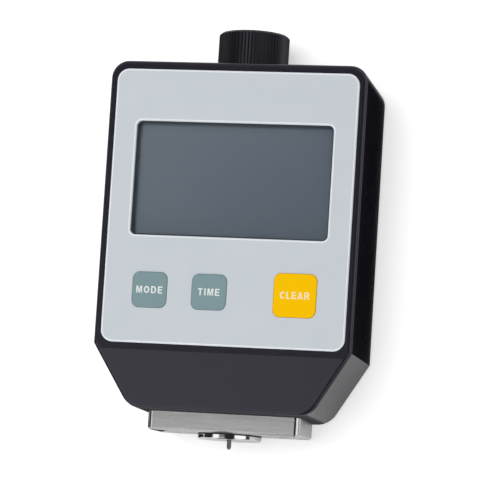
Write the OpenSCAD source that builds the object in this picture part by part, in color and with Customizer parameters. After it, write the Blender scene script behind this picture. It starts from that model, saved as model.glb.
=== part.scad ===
// Hand-held digital durometer, lying on its back.
// X runs across the display, Y from the pressor foot to the knob, Z out of the display.
// Z = 0 is the flat of the rear cover, X = 0 the plunger's axis, Y = 0 the centre of the panel.

/* [Front panel] */
// Width of the silver front panel
panel_w = 69.9; // [66:0.1:76]
// Height of the silver front panel
panel_h = 77.5; // [75:0.1:84]
// Corner radius of the front panel
panel_r = 3.4; // [2:0.1:5]
// Thickness of the front panel plate
panel_t = 1; // [0.8:0.1:1.4]
// How far the panel stands proud of the case rim
panel_proud = 0.4; // [0.2:0.1:0.6]
// Bevel along the front edges of the panel and its window
panel_bevel = 0.3; // [0.1:0.05:0.5]

/* [Display] */
// Width of the display window
window_w = 56.8; // [48:0.1:58]
// Height of the display window
window_h = 32.4; // [26:0.1:34]
// Corner radius of the display window
window_r = 1.6; // [0.5:0.1:3]
// Height of the window's centre above the panel's centre
window_y = 7.85; // [5:0.05:9]
// Thickness of the clear lens behind the window
lens_t = 1.2; // [0.8:0.1:1.4]
// How far the lens reaches under the panel all round
lens_lap = 1.4; // [0.8:0.1:2]
// Thickness of the liquid crystal glass
glass_t = 2.8; // [2:0.1:3.2]
// How far the glass reaches past the window all round
glass_lap = 1.5; // [1:0.1:1.8]
// Thickness of the backlight under the glass
backlight_t = 1.2; // [0.8:0.1:1.6]
// Width of each rubber contact strip beside the backlight
strip_w = 2.4; // [1.5:0.1:3]

/* [Keys] */
// Side of the two grey keys
key_w = 10; // [8:0.1:11]
// Side of the amber key
clear_w = 12.2; // [10:0.1:13]
// Corner radius of the keys
key_r = 2; // [1:0.1:3]
// Bevel round the keys' tops
key_bevel = 0.2; // [0.1:0.05:0.4]
// Height of the key row's centres above the panel's lower edge
key_up = 14.95; // [13.5:0.05:17]
// Place of the mode key from the centre line
mode_x = -21.5; // [-22.5:0.1:-19]
// Place of the time key from the centre line
time_x = -4.35; // [-6:0.05:-2]
// Place of the clear key from the centre line
clear_x = 20.2; // [17:0.1:21]
// How far a key stands above the panel
key_proud = 0.3; // [0.1:0.05:0.6]
// How far a key travels when pressed
key_travel = 0.4; // [0.2:0.05:0.5]
// Width of the flange that keeps a key behind the front wall
key_flange = 0.9; // [0.6:0.1:1.2]

/* [Case] */
// Rim of the case beside the panel
rim_side = 2.1; // [1.5:0.05:3]
// Rim of the case above the panel
rim_top = 2.45; // [1.5:0.05:3.5]
// Rim of the case below the panel, down to the crease
rim_low = 1.9; // [1.2:0.05:3]
// Height of the side shoulders above the crease
shoulder_rise = 0.85; // [0:0.05:2]
// Height of the apron, from the crease to the bottom of the case
apron_h = 16.85; // [15:0.05:20]
// Width of the case's bottom edge between its sharp corners
apron_w = 52.4; // [48:0.1:58]
// Lean of the apron away from the panel's plane, in degrees
apron_tilt = 5; // [0:0.5:7]
// Lean of the apron's slanted sides towards the front, in degrees
side_lean = 1.2; // [0:0.1:2]
// How far the underside leans in towards the front, in degrees
low_lean = 1.6; // [0:0.1:2]
// Depth of the case from its rest face to the rim
case_depth = 29.1; // [28.6:0.1:32]
// Fall of the top face towards the back, in degrees
top_slope = 5; // [2:0.5:7]
// Radius of the upper corners
top_corner_r = 5; // [3:0.1:7]
// Radius of the lower corners
low_corner_r = 6.5; // [5:0.1:9]
// Radius along the front edges
edge_r = 1.2; // [0.6:0.1:1.6]
// Thickness of the side walls
wall = 2.2; // [1.6:0.1:2.6]
// Thickness of the front wall
front_t = 2.5; // [2.2:0.1:3]
// Thickness of the rear cover
cover_t = 2.3; // [2:0.1:3]
// Radius along the rear cover's edge
cover_r = 1.6; // [0.8:0.1:1.9]
// Height of the rear cover's lip inside the walls
lip_h = 2; // [1:0.1:2.5]
// Thickness of the rear cover's lip
lip_t = 1.2; // [0.8:0.1:1.6]

/* [Screws] */
// Thread diameter of the case screws
case_screw_d = 2.5; // [2:0.1:3]
// Head diameter of the case screws
case_head_d = 4.8; // [4:0.1:5.2]
// Diameter of the screw bosses in the front case
boss_d = 6; // [5:0.1:6.6]
// Thread diameter of the board screws
board_screw_d = 2; // [1.6:0.1:2.4]
// Head diameter of the board screws
board_head_d = 3.8; // [3:0.1:4.2]
// Thread diameter of the foot screws
foot_screw_d = 3; // [2.5:0.1:3.5]
// Head diameter of the foot screws
foot_head_d = 5.5; // [5:0.1:6]

/* [Board] */
// Thickness of the circuit board
board_t = 1.6; // [1.2:0.1:1.8]
// Height of the key switches' bodies
switch_h = 1.8; // [1.2:0.1:1.9]
// Side of the key switches' bodies
switch_w = 6; // [4:0.1:6.5]
// Thickness of the chips under the board
chip_t = 1.2; // [0.8:0.1:1.6]

/* [Plunger] */
// Travel of the indenter, which is also its reach below the foot
stroke = 2.5; // [2:0.1:2.6]
// Diameter of the plunger rod
rod_d = 5; // [4.5:0.1:5.4]
// Diameter of the rod's collar
collar_d = 8.4; // [8:0.1:8.6]
// Thickness of the rod's collar
collar_t = 2; // [1.5:0.1:3]
// Diameter of the indenter's pin
indenter_d = 1.25; // [1:0.05:1.5]
// Diameter of the indenter's flat tip
tip_d = 0.79; // [0.5:0.01:0.9]
// Full angle of the indenter's cone, in degrees
cone_angle = 35; // [30:1:60]
// Diameter of the indenter's shank in the rod
shank_d = 2.4; // [2:0.1:2.6]

/* [Guide] */
// Outside diameter of the guide body
guide_d = 12; // [11.4:0.1:12.4]
// Bore of the guide body
bore_d = 9; // [9:0.1:9.4]
// Width of the guide body's flange
flange_w = 38; // [36:0.5:40]
// Depth of the guide body's flange
flange_d = 14; // [13:0.5:15]
// Thickness of the guide body's flange
flange_t = 4; // [3:0.1:5]
// Outside diameter of the lower bush
bush_d = 7.2; // [6.8:0.1:7.4]
// Length of each bush
bush_len = 8; // [6:0.1:9]

/* [Spring] */
// Length of the fitted spring
spring_len = 17; // [15:0.1:19]
// Mean diameter of the spring's coils
spring_d = 7; // [6.6:0.1:7.2]
// Diameter of the spring's wire
wire_d = 0.9; // [0.7:0.05:1]
// Number of free coils
free_coils = 6; // [5:1:7]
// Length of the spring's adjusting nut
nut_len = 5; // [4:0.1:6]

/* [Sensor] */
// Place of the sensor along the plunger
sensor_y = 2; // [0:0.1:4]
// Length of the moving scale
scale_len = 16; // [12:0.5:20]
// Width of the moving scale
scale_w = 6; // [5:0.1:8]
// Width of the carrier's arm
arm_w = 3.6; // [3:0.1:4.4]
// Length of the carrier along the rod
arm_len = 6; // [4:0.5:8]
// Height of the reading head under the board
head_t = 1.4; // [1:0.1:1.8]

/* [Pressor foot] */
// Width of the foot block
foot_w = 44; // [40:0.5:46]
// Depth of the foot block
foot_d = 18; // [17:0.5:20]
// Height of the foot block
foot_h = 4.9; // [4.6:0.1:6]
// Radius of the foot block's upright edges
foot_r = 1.7; // [0.8:0.1:2.5]
// Spacing of the foot screws
foot_screw_gap = 30; // [28:0.5:31]
// Diameter of the pressor disc
disc_d = 18; // [16:0.5:18]
// How far the pressor disc stands below the foot block
disc_h = 1.65; // [1:0.05:2.5]
// Chamfer round the pressor disc's face
disc_chamfer = 0.3; // [0.1:0.05:0.5]
// Hole of the pressor disc round the indenter
disc_hole_d = 3; // [2.8:0.1:3.4]

/* [Knob] */
// Diameter of the knob over its knurl
knob_d = 20.2; // [18:0.1:22]
// Height of the knob
knob_h = 11; // [9:0.1:14]
// Number of ridges round the knob
knurl_count = 64; // [48:1:72]
// Depth of the knurl
knurl_depth = 0.35; // [0.2:0.05:0.5]
// Chamfer round the knob's ends
knob_chamfer = 0.7; // [0.5:0.1:1]
// Thread diameter of the knob's stud
stud_d = 8; // [6:0.5:8.6]

/* [Battery] */
// Diameter of the coin cell
cell_d = 20; // [16:0.5:20]
// Thickness of the coin cell
cell_t = 3.2; // [2.5:0.1:3.4]
// Place of the battery cap from the centre line
cap_x = -20; // [-20.5:0.1:-19]
// Place of the battery cap from the panel's centre
cap_y = 8; // [0:0.5:14]
// Turn that frees the battery cap, in degrees
cap_turn = 50; // [40:5:60]
// Width of the coin slot in the battery cap
slot_w = 1.8; // [1.2:0.1:2.4]

/* [Clearances] */
// Clearance of a pressed or bonded piece in its seat
press_gap = 0.02; // [0.01:0.01:0.04]
// Radial clearance of a shaft that slides or turns in its bore
run_gap = 0.03; // [0.01:0.01:0.06]
// Clearance between flat faces that turn or slide on each other
seat_gap = 0.05; // [0.02:0.01:0.08]
// Clearance of pieces that pass without touching
free_gap = 0.3; // [0.2:0.05:0.4]
// Clearance round fitted plates and lips
fit_gap = 0.15; // [0.1:0.01:0.2]
// Clearance round the keys in the panel
key_gap = 0.08; // [0.05:0.01:0.2]

/* [Hidden] */
$fn = 64;

// Thickness of the outlines that a hull joins, overlap of fused solids and overrun of cuts
skin = 0.01;
fuse = 0.4;
over = 1;

// Case outline
case_w = panel_w + 2 * rim_side;
case_top = panel_h / 2 + rim_top;
crease_y = -panel_h / 2 - rim_low;
shoulder_y = crease_y + shoulder_rise;
case_low = crease_y - apron_h;
shoulder_r = 0.6;
slant = atan2((case_w - apron_w) / 2, shoulder_y - case_low);
least_r = 0.3;
corner_radii = [top_corner_r, top_corner_r, shoulder_r, low_corner_r, low_corner_r, shoulder_r];
corner_steps = 10;
edge_step = 22.5;
cover_inset = 0.35;
floor_y = case_low + wall;
front_z = case_depth - front_t;
panel_z = case_depth + panel_proud;
panel_seat = panel_z - panel_t;

// Places of the case screws, in from the sides, up from the shoulders and down from the top
boss_in = 5.85;
boss_up = 6.3;
boss_down = 8;
boss_x = case_w / 2 - boss_in;
boss_low_y = shoulder_y + boss_up;
boss_top_y = case_top - boss_down;
boss_places = [for (x = [-boss_x, boss_x], y = [boss_low_y, boss_top_y]) [x, y]];
case_head_t = 1.2;
case_head_in = 0.1;
case_screw_len = 9;
rib_t = 1.4;

// Places of the board's posts, beside the bosses
post_d = 4.8;
post_step_x = 7.2;
post_step_y = 2.2;
post_x = boss_x - post_step_x;
post_places = [for (x = [-post_x, post_x], y = [boss_low_y, boss_top_y - post_step_y]) [x, y]];
board_head_t = 1.2;
board_screw_len = 3.4;

// Cross recess, as shares of a screw's head and thread
cross_share = 0.6;
cross_w_share = 0.28;

// Board and display stack, from the front wall down
glass_z = front_z - glass_t;
board_z = glass_z - backlight_t;
board_low = board_z - board_t;
board_edge = 2.6;
glass_size = [window_w + 2 * glass_lap, window_h + 2 * glass_lap];

// Height of the plunger's axis, which leaves room for the scale and its reading head under the board
scale_t = 0.6;
axis_z = board_low - head_t - free_gap - scale_t - free_gap - guide_d / 2;

// Controller, memory and driver under the board: place and size of each
chips = [[16, 14, 9, 9], [17, -4, 7, 5], [14, 28, 5, 4]];

// Keys
key_y = key_up - panel_h / 2;
key_top = panel_z + key_proud;
actuator_d = 3.2;
actuator_h = 0.4;
switch_top = board_z + switch_h + actuator_h;
key_low = switch_top + key_travel + seat_gap;
key_flange_top = front_z - fit_gap;
keys = [[mode_x, key_w], [time_x, key_w], [clear_x, clear_w]];

// Neck and knob
stud_flange = 4;
neck_seat_in = 0.1;
neck_wall = 1;
neck_seat_r = stud_d / 2 + stud_flange;
neck_hole_r = bore_d / 2 + fit_gap;
neck_seat_y = top_at(axis_z - neck_seat_r) - neck_seat_in;
neck_y = neck_seat_y - wall - fuse;
neck_boss_r = guide_d / 2 + neck_wall;
knob_low = top_at(axis_z + knob_d / 2) + free_gap;
knob_top = knob_low + knob_h;
knob_end_t = 3;
stud_depth = 5;
stud_reach = knob_h - knob_end_t;

// Foot and pressor disc
foot_low = case_low - foot_h;
foot_sink = 0.3;
foot_top = low_at(axis_z + foot_d / 2) + foot_sink;
foot_bevel = 0.6;
foot_bore_gap = 0.5;
foot_bore_d = rod_d + 2 * foot_bore_gap;
disc_low = foot_low - disc_h;
spigot_d = 12;
spigot_step = 1;
spigot_in = 2;
nose_d = spigot_d - 2 * spigot_step;
disc_boss_d = 10;
disc_boss_h = 2;
foot_head_h = 2.8;
foot_screw_end = 0.8;
foot_screw_len = foot_h - foot_head_h + wall + flange_t - foot_screw_end;

// Plunger, from the foot up
ledge_t = 1;
rod_nose = 0.5;
rod_room = 1;
rod_end = 2;
bush_low = floor_y + spigot_in + seat_gap;
collar_low = bush_low + bush_len + ledge_t;
rod_low = bush_low - stroke - rod_nose;
spring_low = collar_low + collar_t;
spring_top = spring_low + spring_len;
stud_low = neck_y - stud_depth;
rod_top = stud_low - stroke - rod_room;
upper_bush_top = rod_top - rod_end;
tip_y = disc_low - stroke;
tip_len = (indenter_d - tip_d) / 2 / tan(cone_angle / 2);
shank_up = 0.9;
shank_taper = 0.6;
shank_in = 6;
shank_low = foot_low + shank_up;
arm_top = axis_z + guide_d / 2 + free_gap;
head_size = [8, 10];

// Spring, with one closed turn at each end
coil_steps = 16;
wire_sides = 8;
closed_rise = wire_d + seat_gap;
free_rise = (spring_len - 2 * seat_gap - wire_d - 2 * closed_rise) / free_coils;
nut_slot = [1.2, 1];

// Battery cap and its seat in the rear cover
cell_gap = 0.15;
cell_rim = 1;
cell_lid_h = 0.5;
cup_t = 0.85;
cap_lap = 1.5;
spigot_r = cell_d / 2 + cell_gap + cup_t;
cap_r = spigot_r + cap_lap;
cap_face = 0.15;
cap_t = 1;
cup_floor_t = 1.5;
cap_floor = cap_face + cup_floor_t;
slot_len = 12;
slot_in = 0.9;
ledge_h = 2;
ledge_low = cap_face + cap_t + seat_gap;
ledge_top = ledge_low + ledge_h;
lug_low = ledge_top + seat_gap;
lug_h = 1;
lug_reach = 1.2;
lug_r = spigot_r + lug_reach;
lug_angle = 26;
notch_room = 6;
notch_angle = lug_angle + notch_room;
cell_top = cap_floor + cell_t;
collar_top = cell_top + fit_gap;
track_r = lug_r + free_gap;
battery_wall = 1.5;
battery_wall_r = track_r + battery_wall;
contact_w = 4;
contact_t = 0.4;
contact_in = 1.2;
contact_end = 0.2;
contact_x = [0, cell_d / 2 - contact_in];
post_r = 0.8;

black_plastic = [0.13, 0.13, 0.14];
silver_grey = [0.78, 0.81, 0.83];
teal_grey = [0.46, 0.56, 0.58];
amber = [1, 0.75, 0];
steel = [0.66, 0.66, 0.66];
polished = [0.85, 0.85, 0.86];
alloy = [0.72, 0.73, 0.75];
bronze = [0.72, 0.55, 0.3];
board_green = [0.1, 0.35, 0.2];
smoke = [0.4, 0.43, 0.46, 0.4];
lcd_grey = [0.4, 0.43, 0.46];
chip_black = [0.08, 0.08, 0.09];

// Height of the sloping top face at a given depth
function top_at(z) = case_top - (case_depth - z) * tan(top_slope);

function unit(v) = v / norm(v);

// The corners of a convex outline moved inwards by d
function inset(points, d) = [
    for (i = [0 : len(points) - 1])
        let (n = len(points), b = points[i])
        let (u = unit(points[(i + n - 1) % n] - b), w = unit(points[(i + 1) % n] - b))
        b + unit(u + w) * d / sin(acos(u * w) / 2)
];

// A convex outline, counted anticlockwise, with each corner rounded to its own radius
function rounded(points, radii) = [
    for (i = [0 : len(points) - 1])
        let (n = len(points), b = points[i], r = radii[i])
        let (u = unit(points[(i + n - 1) % n] - b), w = unit(points[(i + 1) % n] - b))
        let (half = acos(u * w) / 2, centre = b + unit(u + w) * r / sin(half))
        let (from = b + u * r / tan(half) - centre, start = atan2(from.y, from.x))
        for (k = [0 : corner_steps])
            let (a = start + k / corner_steps * (180 - 2 * half))
            centre + r * [cos(a), sin(a)]
];

// How far the slanted sides have come in at a given depth
function lean_at(z) = (z - case_depth / 2) * tan(side_lean);

// Place of the underside at a given depth
function low_at(z) = case_low + (z - case_depth / 2) * tan(low_lean);

// The six corners of the case at a given depth, from the upper right
function case_corners(z) =
    let (low_y = low_at(z), side_y = shoulder_y + lean_at(z) / sin(slant))
    let (low_x = apron_w / 2 - lean_at(z) / cos(slant) + (low_y - case_low) * tan(slant))
    [
        [case_w / 2, top_at(z)], [-case_w / 2, top_at(z)], [-case_w / 2, side_y],
        [-low_x, low_y], [low_x, low_y], [case_w / 2, side_y]
    ];

// The case's outline at depth z, moved inwards by d
module outline(z, d = 0) {
    polygon(rounded(inset(case_corners(z), d), [for (r = corner_radii) max(r - d, least_r)]));
}

// The part of the outline on one side of the crease: 1 above it, -1 below it
module half_outline(z, d, side) {
    intersection() {
        outline(z, d);
        translate([-case_w, side > 0 ? crease_y : crease_y - 2 * case_w])
            square(2 * case_w);
    }
}

// The case's convex body: outline moved in by d, front faces lowered by drop, front edges rounded to r
module case_body(d, drop, back, r) {
    top = case_depth - drop;
    hull() {
        translate([0, 0, back])
            linear_extrude(skin) outline(back, d);
        for (a = [0 : edge_step : 90]) {
            in = d + r * (1 - cos(a));
            down = r * (1 - sin(a)) + skin;
            translate([0, 0, top - down])
                linear_extrude(skin) half_outline(top, in, 1);
            translate([0, crease_y, top])
                rotate([apron_tilt, 0, 0])
                    translate([0, -crease_y, -down])
                        linear_extrude(skin) half_outline(top, in, -1);
        }
    }
}

module rounded_rect(w, h, r) {
    square([w - 2 * r, h], center = true);
    square([w, h - 2 * r], center = true);
    for (x = [-1, 1], y = [-1, 1])
        translate([x * (w / 2 - r), y * (h / 2 - r)]) circle(r);
}

// A plate with round corners, from z0 to z1
module plate(w, h, r, z0, z1) {
    translate([0, 0, z0])
        linear_extrude(z1 - z0) rounded_rect(w, h, r);
}

// A round bar on the plunger's axis, or beside it at x
module bar(y0, y1, d, x = 0) {
    translate([x, y0, axis_z])
        rotate([-90, 0, 0])
            cylinder(h = y1 - y0, d = d);
}

// A screw that points up: head from z = 0, cross recess in its face
module screw(d, head_d, head_t, length) {
    cross = [head_d * cross_share, d * cross_w_share, head_t];
    difference() {
        union() {
            cylinder(h = head_t, d = head_d);
            translate([0, 0, head_t]) cylinder(h = length, d = d);
        }
        for (a = [0, 90])
            rotate(a) cube(cross, center = true);
    }
}

// Cuts for the window and the keys, through everything between z0 and z1
module panel_openings(z0, z1) {
    translate([0, window_y]) plate(window_w, window_h, window_r, z0, z1);
    for (k = keys)
        translate([k[0], key_y])
            plate(k[1] + 2 * key_gap, k[1] + 2 * key_gap, key_r + key_gap, z0, z1);
}

module front_case() {
    color(black_plastic) difference() {
        union() {
            difference() {
                case_body(0, 0, cover_t, edge_r);
                case_body(wall, front_t, cover_t - over, skin);
            }
            for (p = boss_places) {
                translate([p.x, p.y, cover_t])
                    cylinder(h = front_z + fuse - cover_t, d = boss_d);
                rib_x = sign(p.x) * (case_w / 2 - wall / 2);
                translate([min(p.x, rib_x), p.y - rib_t / 2, cover_t + lip_h + over])
                    cube([abs(rib_x - p.x), rib_t, front_z + fuse - cover_t - lip_h - over]);
            }
            for (p = post_places)
                translate([p.x, p.y, board_z])
                    cylinder(h = front_z + fuse - board_z, d = post_d);
            bar(neck_y, neck_seat_y, 2 * neck_boss_r);
            flange_block(floor_y - fuse, floor_y, 0);
        }
        plate(panel_w + 2 * fit_gap, panel_h + 2 * fit_gap, panel_r + fit_gap, panel_seat, panel_z);
        translate([0, window_y])
            plate(window_w + 2 * (lens_lap + fit_gap), window_h + 2 * (lens_lap + fit_gap),
                  window_r + lens_lap, panel_seat - lens_t, panel_z);
        panel_openings(front_z - over, panel_z);
        for (p = boss_places)
            translate([p.x, p.y, cover_t - over])
                cylinder(h = case_screw_len + over, d = case_screw_d + 2 * press_gap);
        for (p = post_places)
            translate([p.x, p.y, board_z - over])
                cylinder(h = board_screw_len + over, d = board_screw_d + 2 * press_gap);
        bar(neck_y - over, knob_top, 2 * neck_hole_r);
        bar(neck_seat_y, knob_top, 2 * neck_seat_r);
        flange_block(floor_y, floor_y + flange_t, fit_gap);
        translate([0, foot_low, axis_z])
            rotate([-90, 0, 0])
                plate(foot_w + 2 * fit_gap, foot_d + 2 * fit_gap, foot_r + fit_gap, 0, foot_top - foot_low);
        bar(case_low - over, floor_y + over, spigot_d + 2 * fit_gap);
        for (x = [-foot_screw_gap / 2, foot_screw_gap / 2])
            bar(case_low - over, floor_y + over, foot_screw_d + 2 * fit_gap, x);
    }
}

// A block with the outline of the guide body's flange, grown by gap
module flange_block(y0, y1, gap) {
    translate([-flange_w / 2 - gap, y0, axis_z - flange_d / 2 - gap])
        cube([flange_w + 2 * gap, y1 - y0, flange_d + 2 * gap]);
}

// A sector of a ring, centred on the X axis
module ring_sector(r0, r1, angle, z0, z1) {
    translate([0, 0, z0])
        rotate([0, 0, -angle / 2])
            rotate_extrude(angle = angle)
                translate([r0, 0]) square([r1 - r0, z1 - z0]);
}

module rear_cover() {
    color(black_plastic) difference() {
        union() {
            hull()
                for (a = [0 : edge_step : 90])
                    translate([0, 0, cover_r * (1 - cos(a))])
                        linear_extrude(cover_t - cover_r * (1 - cos(a)))
                            outline(cover_t, cover_inset + cover_r * (1 - sin(a)));
            difference() {
                translate([0, 0, cover_t - fuse])
                    linear_extrude(lip_h + fuse)
                        difference() {
                            outline(cover_t, wall + fit_gap);
                            outline(cover_t, wall + fit_gap + lip_t);
                        }
                for (p = boss_places)
                    translate([p.x, p.y, cover_t])
                        cylinder(h = lip_h + over, d = boss_d + 2 * free_gap);
                translate([-flange_w / 2 - free_gap, case_low, cover_t])
                    cube([flange_w + 2 * free_gap, case_top - case_low, lip_h + over]);
            }
            translate([cap_x, cap_y, cover_t - fuse])
                cylinder(h = collar_top - cover_t + fuse, r = battery_wall_r);
        }
        for (p = boss_places)
            translate([p.x, p.y, 0]) {
                translate([0, 0, -over])
                    cylinder(h = cover_t + 2 * over, d = case_screw_d + 2 * fit_gap);
                translate([0, 0, -over])
                    cylinder(h = over + case_head_in + case_head_t, d = case_head_d + 2 * fit_gap);
            }
        translate([cap_x, cap_y, 0]) {
            translate([0, 0, -over])
                cylinder(h = over + ledge_low, r = cap_r + 2 * run_gap);
            cylinder(h = collar_top, r = spigot_r + 2 * run_gap);
            translate([0, 0, ledge_top])
                cylinder(h = collar_top, r = track_r);
            for (a = [0, 180])
                rotate(a + cap_turn)
                    ring_sector(spigot_r - over, track_r, notch_angle, ledge_low - skin, ledge_top + over);
        }
    }
}

module case_screws() {
    color(steel)
        for (p = boss_places)
            translate([p.x, p.y, case_head_in])
                screw(case_screw_d, case_head_d, case_head_t, case_screw_len - over);
}

module front_panel() {
    color(silver_grey) difference() {
        hull() {
            plate(panel_w, panel_h, panel_r, panel_seat, panel_z - panel_bevel);
            plate(panel_w - 2 * panel_bevel, panel_h - 2 * panel_bevel, panel_r - panel_bevel,
                  panel_seat, panel_z);
        }
        panel_openings(panel_seat - over, panel_z + over);
        translate([0, window_y])
            hull() {
                plate(window_w, window_h, window_r, panel_z - panel_bevel - skin, panel_z - panel_bevel);
                plate(window_w + 2 * panel_bevel, window_h + 2 * panel_bevel, window_r + panel_bevel,
                      panel_z, panel_z + over);
            }
    }
}

module display_lens() {
    color(smoke)
        translate([0, window_y])
            plate(window_w + 2 * lens_lap, window_h + 2 * lens_lap, window_r + lens_lap,
                  panel_seat - lens_t, panel_seat);
}

module display_glass() {
    color(lcd_grey)
        translate([0, window_y, glass_z + glass_t / 2])
            cube([glass_size.x, glass_size.y, glass_t], center = true);
}

module backlight() {
    color("white")
        translate([0, window_y, board_z + backlight_t / 2])
            cube([glass_size.x, glass_size.y - 2 * (strip_w + fit_gap), backlight_t], center = true);
}

module contact_strips() {
    color("dimgray")
        for (side = [-1, 1])
            translate([0, window_y + side * (glass_size.y - strip_w) / 2, board_z + backlight_t / 2])
                cube([glass_size.x, strip_w, backlight_t], center = true);
}

module circuit_board() {
    board_x = case_w / 2 - wall - board_edge;
    low = shoulder_y + board_edge;
    high = case_top - wall - board_edge;
    color(board_green) difference() {
        translate([-board_x, low, board_low])
            cube([2 * board_x, high - low, board_t]);
        for (p = boss_places)
            translate([p.x, p.y, board_low - over])
                cylinder(h = board_t + 2 * over, d = boss_d + 4 * free_gap);
        for (p = boss_places)
            translate([sign(p.x) * (board_x + boss_x) / 2, p.y, board_low])
                cube([board_x - boss_x + boss_d, rib_t + 4 * free_gap, 3 * board_t], center = true);
        for (p = post_places)
            translate([p.x, p.y, board_low - over])
                cylinder(h = board_t + 2 * over, d = board_screw_d + 2 * fit_gap);
    }
}

module board_chips() {
    color(chip_black)
        for (c = chips)
            translate([c[0], c[1], board_low - chip_t / 2])
                cube([c[2], c[3], chip_t], center = true);
}

module board_screws() {
    color(steel)
        for (p = post_places)
            translate([p.x, p.y, board_low - board_head_t])
                screw(board_screw_d, board_head_d, board_head_t, board_t + board_screw_len - over / 2);
}

module key_switches() {
    color(chip_black)
        for (k = keys)
            translate([k[0], key_y, board_z]) {
                translate([0, 0, switch_h / 2])
                    cube([switch_w, switch_w, switch_h], center = true);
                cylinder(h = switch_h + actuator_h, d = actuator_d);
            }
}

module read_head() {
    color(chip_black)
        translate([0, sensor_y + stroke / 2, board_low - head_t / 2])
            cube([head_size.x, head_size.y, head_t], center = true);
}

// A key cap of side w: a bevelled top that passes the panel and a flange behind the front wall
module key_cap(x, w) {
    top_w = w - 2 * key_bevel;
    translate([x, key_y]) {
        hull() {
            plate(w, w, key_r, key_low, key_top - key_bevel);
            plate(top_w, top_w, key_r - key_bevel, key_low, key_top);
        }
        plate(w + 2 * key_flange, w + 2 * key_flange, key_r, key_low, key_flange_top);
    }
}

module mode_key() {
    color(teal_grey) key_cap(mode_x, key_w);
}

module time_key() {
    color(teal_grey) key_cap(time_x, key_w);
}

module clear_key() {
    color(amber) key_cap(clear_x, clear_w);
}

module guide_body() {
    slot_low = sensor_y - arm_len / 2 - free_gap;
    slot_len = arm_len + stroke + 2 * free_gap;
    slot_x = arm_w + 2 * free_gap;
    color(alloy) difference() {
        union() {
            bar(floor_y + fuse, neck_y, guide_d);
            flange_block(floor_y, floor_y + flange_t, 0);
        }
        bar(floor_y - over, floor_y + spigot_in, nose_d + 2 * press_gap);
        bar(floor_y, collar_low, bush_d + 2 * press_gap);
        bar(collar_low, neck_y + over, bore_d);
        translate([-slot_x / 2, slot_low, axis_z])
            cube([slot_x, slot_len, guide_d]);
        for (x = [-foot_screw_gap / 2, foot_screw_gap / 2])
            bar(floor_y - over, floor_y + flange_t + over, foot_screw_d + 2 * press_gap, x);
    }
}

module lower_bush() {
    color(bronze) difference() {
        bar(bush_low, bush_low + bush_len, bush_d);
        bar(bush_low - over, bush_low + bush_len + over, rod_d + 2 * run_gap);
    }
}

module upper_bush() {
    color(bronze) difference() {
        bar(upper_bush_top - bush_len, upper_bush_top, bore_d - 2 * press_gap);
        bar(upper_bush_top - bush_len - over, upper_bush_top + over, rod_d + 2 * run_gap);
    }
}

module plunger_rod() {
    color(steel) difference() {
        union() {
            bar(rod_low, rod_top, rod_d);
            bar(collar_low + seat_gap, spring_low, collar_d);
        }
        bar(rod_low - over, rod_low + shank_in, shank_d + 2 * press_gap);
    }
}

module indenter() {
    color(steel) translate([0, 0, axis_z])
        rotate([-90, 0, 0])
            rotate_extrude()
                polygon([[0, tip_y], [tip_d / 2, tip_y], [indenter_d / 2, tip_y + tip_len],
                         [indenter_d / 2, shank_low], [shank_d / 2, shank_low + shank_taper],
                         [shank_d / 2, rod_low + shank_in], [0, rod_low + shank_in]]);
}

module scale_carrier() {
    ring_d = bore_d - 4 * free_gap;
    color(alloy) difference() {
        union() {
            bar(sensor_y - arm_len / 2, sensor_y + arm_len / 2, ring_d);
            translate([-arm_w / 2, sensor_y - arm_len / 2, axis_z])
                cube([arm_w, arm_len, arm_top - axis_z]);
        }
        bar(sensor_y - arm_len, sensor_y + arm_len, rod_d + 2 * press_gap);
    }
}

module scale_strip() {
    color(smoke)
        translate([-scale_w / 2, sensor_y - scale_len / 2, arm_top])
            cube([scale_w, scale_len, scale_t]);
}

// Height of the wire's centre above the spring's lower end after a number of turns
function coil_y(turn) =
    wire_d / 2 + seat_gap + closed_rise * min(turn, 1)
    + free_rise * min(max(turn - 1, 0), free_coils)
    + closed_rise * max(turn - 1 - free_coils, 0);

// The wire swept along its helix, as rings of points joined by faces
module main_spring() {
    rings = coil_steps * (free_coils + 2);
    points = [
        for (i = [0 : rings], k = [0 : wire_sides - 1])
            let (a = 360 * i / coil_steps, b = 360 * k / wire_sides)
            let (r = spring_d / 2 + wire_d / 2 * cos(b))
            [r * cos(a), r * sin(a), coil_y(i / coil_steps) + wire_d / 2 * sin(b)]
    ];
    sides = [
        for (i = [0 : rings - 1], k = [0 : wire_sides - 1])
            let (p = i * wire_sides, q = p + wire_sides, n = (k + 1) % wire_sides)
            [p + k, p + n, q + n, q + k]
    ];
    ends = [
        [for (k = [wire_sides - 1 : -1 : 0]) k],
        [for (k = [0 : wire_sides - 1]) rings * wire_sides + k]
    ];
    color("gray") translate([0, spring_low, axis_z])
        rotate([-90, 0, 0])
            polyhedron(points, concat(sides, ends));
}

module spring_nut() {
    color(bronze) difference() {
        bar(spring_top, spring_top + nut_len, bore_d - 2 * press_gap);
        bar(spring_top - over, spring_top + nut_len + over, rod_d + 2 * free_gap);
        translate([-bore_d / 2, spring_top + nut_len - nut_slot.y, axis_z - nut_slot.x / 2])
            cube([bore_d, nut_slot.y + over, nut_slot.x]);
    }
}

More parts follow.
